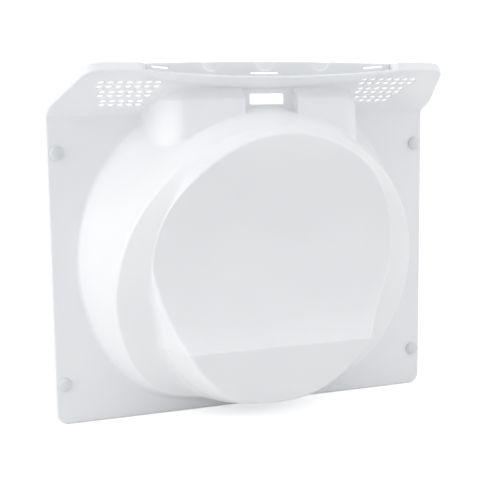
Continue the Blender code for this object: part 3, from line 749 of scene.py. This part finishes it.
pin_nylon = plastic("pin_nylon", (0.80, 0.81, 0.82), 0.36, shift=0.008, grain=0.02)
sleeve_nylon = plastic("sleeve_nylon", (0.72, 0.73, 0.73), 0.5, shift=0.01, grain=0.03)
for row, height in zip(("lower", "upper"), RIVET_HEIGHTS):
    for side, across in (("left", -RIVET_ACROSS), ("right", RIVET_ACROSS)):
        place = row + "_" + side
        pin = turned("pin_" + place, pin_profile(), 48, (across, BOTTOM + height))
        dress(pin, pin_nylon)
        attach(pin, "pin_" + place)
        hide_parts("rivet_pin_" + place)
        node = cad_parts["rivet_sleeve_" + place]
        for held in node.material_slots:
            held.material = sleeve_nylon


# ---- floor, backdrop, lights and camera ------------------------------------------------------
PAPER_GLOW = 0.55          # added where the paper is seen, not to its light on the object
SKY_LIGHT = 0.71
SKY_SEEN = 1.03
FLOOR_DROP = 0.0004        # floor below the object's lowest point
LAMP_AIM = (0, -0.05, 0.18)


def seen_directly(tree):
    """1 where the camera, a reflection or a clear body sees the surface, 0 for its light."""
    look = tree.nodes.new("ShaderNodeLightPath")
    total = look.outputs["Is Camera Ray"]
    for kind in ("Is Glossy Ray", "Is Transmission Ray"):
        either = tree.nodes.new("ShaderNodeMath")
        either.operation = "MAXIMUM"
        tree.links.new(total, either.inputs[0])
        tree.links.new(look.outputs[kind], either.inputs[1])
        total = either.outputs[0]
    return total


def paper(name):
    """Pale paper that reads white to the camera and still takes the object's shadow."""
    material = bpy.data.materials.new(name)
    material.use_nodes = True
    nodes, links = material.node_tree.nodes, material.node_tree.links
    shader = nodes["Principled BSDF"]
    grain = nodes.new("ShaderNodeTexNoise")
    grain.inputs["Scale"].default_value = 6.0
    tone = nodes.new("ShaderNodeValToRGB")
    tone.color_ramp.elements[0].color = (0.83, 0.83, 0.83, 1)
    tone.color_ramp.elements[1].color = (0.87, 0.87, 0.87, 1)
    links.new(grain.outputs["Fac"], tone.inputs["Fac"])
    links.new(tone.outputs["Color"], shader.inputs["Base Color"])
    shader.inputs["Roughness"].default_value = 0.9
    glow = nodes.new("ShaderNodeEmission")
    gain = nodes.new("ShaderNodeMath")
    gain.operation = "MULTIPLY"
    gain.inputs[1].default_value = PAPER_GLOW
    links.new(seen_directly(material.node_tree), gain.inputs[0])
    links.new(gain.outputs[0], glow.inputs["Strength"])
    total = nodes.new("ShaderNodeAddShader")
    links.new(shader.outputs[0], total.inputs[0])
    links.new(glow.outputs[0], total.inputs[1])
    links.new(total.outputs[0], nodes["Material Output"].inputs["Surface"])
    return material


def floor():
    mesh = bpy.data.meshes.new("floor")
    shape = bmesh.new()
    bottom = cad_low[2] - FLOOR_DROP
    rows = []
    reach, radius = 3.0, 1.2
    profile = [(-4.0, 0.0), (reach - radius, 0.0)]
    for i in range(1, 13):
        angle = math.pi / 2 * i / 12
        profile.append((reach - radius + radius * math.sin(angle), radius * (1 - math.cos(angle))))
    profile.append((reach, 6.0))
    for y, z in profile:
        rows.append([shape.verts.new((x, y, bottom + z)) for x in (-7.0, 7.0)])
    for one, two in zip(rows, rows[1:]):
        shape.faces.new((one[0], one[1], two[1], two[0]))
    shape.to_mesh(mesh)
    shape.free()
    mesh.shade_smooth()
    item = bpy.data.objects.new("floor", mesh)
    bpy.context.scene.collection.objects.link(item)
    return dress(item, paper("paper"))


def lamp(name, place, aim, size, power):
    light = bpy.data.lights.new(name, "AREA")
    light.shape = "RECTANGLE"
    light.size, light.size_y = size
    light.energy = power
    item = bpy.data.objects.new(name, light)
    item.location = place
    item.rotation_euler = (Vector(aim) - Vector(place)).to_track_quat("-Z", "Y").to_euler()
    bpy.context.scene.collection.objects.link(item)
    return item


floor()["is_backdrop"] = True
lamp("key", (-2.3, -0.25, 0.45), LAMP_AIM, (1.3, 1.8), 23)
lamp("top", (-0.1, -0.6, 2.3), LAMP_AIM, (1.6, 1.0), 8)
lamp("fill", (2.0, -1.1, 0.8), LAMP_AIM, (1.2, 1.4), 7)

world = bpy.context.scene.world or bpy.data.worlds.new("world")
bpy.context.scene.world = world
world.use_nodes = True
back = world.node_tree.nodes["Background"]
back.inputs["Color"].default_value = (0.97, 0.985, 1.0, 1)
level = world.node_tree.nodes.new("ShaderNodeMapRange")
level.inputs["To Min"].default_value = SKY_LIGHT
level.inputs["To Max"].default_value = SKY_SEEN
world.node_tree.links.new(seen_directly(world.node_tree), level.inputs["Value"])
world.node_tree.links.new(level.outputs["Result"], back.inputs["Strength"])

CAMERA_PLACE = (-0.40667, -1.10002, 0.35303)
CAMERA_TURN = 0.35198445
CAMERA_DIP = 0.13737411
CAMERA_ROLL = -0.01280015


def aim_camera():
    turn, dip, roll = CAMERA_TURN, CAMERA_DIP, CAMERA_ROLL
    ahead = Vector((math.sin(turn) * math.cos(dip), math.cos(turn) * math.cos(dip), -math.sin(dip)))
    right = Vector((math.cos(turn), -math.sin(turn), 0))
    up = right.cross(ahead)
    side = right * math.cos(roll) + up * math.sin(roll)
    over = up * math.cos(roll) - right * math.sin(roll)
    lens = bpy.data.cameras.new("camera")
    lens.sensor_width = 36
    lens.lens = 74.46
    lens.clip_start = 0.05
    lens.clip_end = 40
    item = bpy.data.objects.new("camera", lens)
    bpy.context.scene.collection.objects.link(item)
    item.matrix_world = Matrix.Translation(CAMERA_PLACE) @ Matrix(
        (side, over, -ahead)).transposed().to_4x4()
    bpy.context.scene.camera = item


aim_camera()
bpy.context.scene.view_settings.view_transform = "Standard"

low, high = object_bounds()
